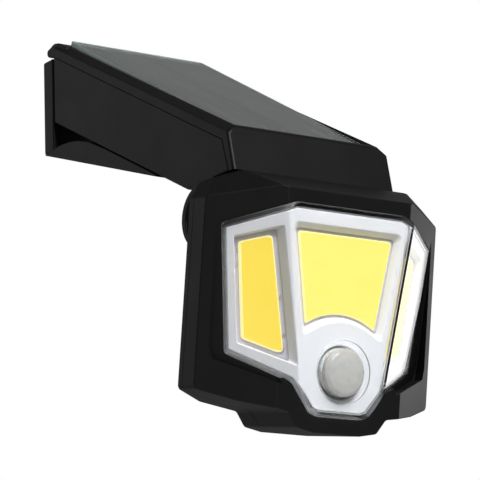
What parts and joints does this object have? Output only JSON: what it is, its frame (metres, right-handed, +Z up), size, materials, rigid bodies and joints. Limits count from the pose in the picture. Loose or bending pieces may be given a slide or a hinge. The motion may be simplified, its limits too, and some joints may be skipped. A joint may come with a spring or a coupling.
{
  "type": "solar flood light",
  "caption": "Wall-mounted solar flood light: sloping solar housing on a wall bracket, with a faceted lamp head and motion sensor that tilts on a friction hinge.",
  "frame": {"origin": "centre of the wall bracket's rear face, on the wall plane", "axes": "+Y into the wall, +Z up, +X across the lamp; the lamp faces -Y"},
  "size_m": [0.122, 0.1921, 0.2168],
  "materials": {
    "black_housing": "moulded black ABS with a fine matt texture",
    "panel_glass": "tempered flat glass, polished, greenish edge",
    "solar_cell": "dark silicon cell with fine grid lines",
    "panel_backer": "glass-fibre backing board",
    "seal_rubber": "black silicone rubber",
    "clear_cover": "clear polycarbonate, polished",
    "white_reflector": "white moulded plastic, satin",
    "led_board": "aluminium-core board with pale solder mask",
    "phosphor": "yellow phosphor silicone over the chips",
    "sensor_dome": "milky polyethylene with facet lenses",
    "metal": "zinc-plated steel",
    "circuit_board": "green solder mask on glass-fibre board",
    "black_part": "black moulded part",
    "battery_wrap": "lithium cell in a blue sleeve",
    "white_part": "white moulded nylon",
    "lead_jacket": "black insulated lead"
  },
  "bodies": {
    "root": {"wall_bracket": "black_housing", "lower_tray": "black_housing", "top_cover": "black_housing", "solar_glass": "panel_glass", "solar_cell_left": "solar_cell", "solar_cell_right": "solar_cell", "panel_backer": "panel_backer", "panel_seal": "seal_rubber", "battery_cell_rear": "battery_wrap", "battery_cell_front": "battery_wrap", "battery_holder": "black_part", "battery_contact_left": "metal", "battery_contact_right": "metal", "charge_board": "circuit_board", "charge_inductor": "black_part", "lead_plug": "white_part", "hinge_cap_left": "black_housing", "hinge_cap_right": "black_housing", "pivot_screw_left": "metal", "pivot_screw_right": "metal", "friction_washer_left": "white_part", "friction_washer_right": "white_part", "tray_screw_rear_left": "metal", "tray_screw_rear_right": "metal", "tray_screw_front_left": "metal", "tray_screw_front_right": "metal", "bracket_screw_left": "metal", "bracket_screw_right": "metal", "lead_housing": "lead_jacket"},
    "head": {"head_rear_shell": "black_housing", "head_front_frame": "black_housing", "head_seal": "seal_rubber", "clear_cover": "clear_cover", "reflector": "white_reflector", "led_board_centre": "led_board", "led_board_left": "led_board", "led_board_right": "led_board", "phosphor_centre": "phosphor", "phosphor_left": "phosphor", "phosphor_right": "phosphor", "sensor_dome": "sensor_dome", "sensor_board": "circuit_board", "sensor_can": "metal", "driver_board": "circuit_board", "driver_coil": "black_part", "driver_chip": "black_part", "mode_switch": "black_part", "head_screw_lower_left": "metal", "head_screw_lower_right": "metal", "head_screw_upper_left": "metal", "head_screw_upper_right": "metal", "lead_head": "lead_jacket"},
    "mode_button": {"mode_button": "seal_rubber"}
  },
  "joints": [
    {"name": "head_tilt", "type": "hinge", "parent": "root", "child": "head", "pos_m": [0, -0.1401, -0.08665], "axis": [1, 0, 0], "range_deg": [0, 80]},
    {"name": "mode_button_press", "type": "slide", "parent": "head", "child": "mode_button", "axis": [0, -0.9851, -0.1719], "range_m": [0, 0.0012], "stiffness_N_per_m": 800}
  ]
}
